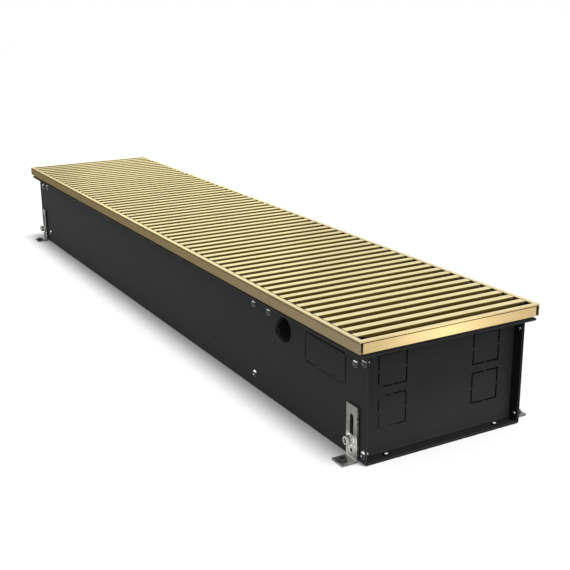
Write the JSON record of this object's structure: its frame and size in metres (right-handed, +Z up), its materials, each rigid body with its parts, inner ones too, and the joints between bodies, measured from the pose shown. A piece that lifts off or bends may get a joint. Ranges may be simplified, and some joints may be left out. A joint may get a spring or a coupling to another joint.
{
  "type": "trench convector heater",
  "caption": "Long black floor duct with a gold frame, roll-up grille of cross bars, finned heat exchanger, cross-flow fan and levelling feet.",
  "frame": {"origin": "middle of the underside of the casing", "axes": "+X along the duct towards the end with the pipe connections, +Y across towards the wall without the cable grommet, +Z up"},
  "size_m": [1.1, 0.241, 0.135],
  "materials": {
    "black_paint": "matte powder coat",
    "gold_rail": "brushed, light gold anodised",
    "gold_bar": "satin, light gold anodised",
    "black_rubber": "matte",
    "zinc_sheet": "galvanised, dull",
    "fin_aluminium": "mill finish",
    "copper": "drawn copper, semi-bright",
    "brass": "machined",
    "rivet_metal": "bright",
    "bright_steel": "zinc plated",
    "spring_steel": "drawn wire",
    "bracket_zinc": "zinc plated, satin",
    "bush_rubber": "matte",
    "motor_grey": "satin",
    "white_plastic": "moulded"
  },
  "bodies": {
    "casing": {"casing_trough": "black_paint", "end_plate_near": "black_paint", "end_plate_far": "black_paint", "corner_gussets": "black_paint", "frame_front": "gold_rail", "frame_back": "gold_rail", "frame_near": "gold_rail", "frame_far": "gold_rail", "rest_strips": "black_rubber", "cable_grommet": "black_rubber", "wall_rivets": "rivet_metal", "flange_rivets": "rivet_metal", "bulkhead_near": "zinc_sheet", "bulkhead_far": "zinc_sheet", "cross_brace": "black_paint", "fin_pack": "fin_aluminium", "copper_tubes": "copper", "return_bends": "copper", "pipe_unions": "brass", "air_vent_body": "brass", "fan_scroll": "zinc_sheet", "fan_tongue": "zinc_sheet", "fan_motor": "motor_grey", "fan_bearing": "motor_grey", "fan_screws": "bright_steel", "terminal_box": "white_plastic", "terminal_lid": "white_plastic", "terminal_glands": "white_plastic", "terminal_screws": "bright_steel", "clamp_bolts": "bright_steel", "clamp_washers": "bright_steel", "rivet_nuts": "bright_steel"},
    "grille": {"grille_bars": "gold_bar", "grille_spacers": "black_rubber", "grille_springs": "spring_steel", "spring_screws": "bright_steel"},
    "fan": {"fan_rotor": "fin_aluminium", "fan_shafts": "bright_steel"},
    "vent_screw": {"air_vent_screw": "brass"},
    "level_front_near": {"bracket_front_near": "bracket_zinc", "bush_front_near": "bush_rubber"},
    "level_front_far": {"bracket_front_far": "bracket_zinc", "bush_front_far": "bush_rubber"},
    "level_back_near": {"bracket_back_near": "bracket_zinc", "bush_back_near": "bush_rubber"},
    "level_back_far": {"bracket_back_far": "bracket_zinc", "bush_back_far": "bush_rubber"}
  },
  "joints": [
    {"name": "grille_lift", "type": "slide", "parent": "casing", "child": "grille", "axis": [0, 0, 1], "range_m": [0, 0.1]},
    {"name": "fan_spin", "type": "hinge", "parent": "casing", "child": "fan", "pos_m": [0, -0.0532, 0.052], "axis": [1, 0, 0], "continuous": true},
    {"name": "vent_turn", "type": "hinge", "parent": "casing", "child": "vent_screw", "pos_m": [0.3172, 0.0687, 0.087], "axis": [0, 0, 1], "range_deg": [0, 360]},
    {"name": "level_slide_front_near", "type": "slide", "parent": "casing", "child": "level_front_near", "axis": [0, 0, 1], "range_m": [-0.024, 0]},
    {"name": "level_slide_front_far", "type": "slide", "parent": "casing", "child": "level_front_far", "axis": [0, 0, 1], "range_m": [-0.024, 0]},
    {"name": "level_slide_back_near", "type": "slide", "parent": "casing", "child": "level_back_near", "axis": [0, 0, 1], "range_m": [-0.024, 0]},
    {"name": "level_slide_back_far", "type": "slide", "parent": "casing", "child": "level_back_far", "axis": [0, 0, 1], "range_m": [-0.024, 0]}
  ]
}
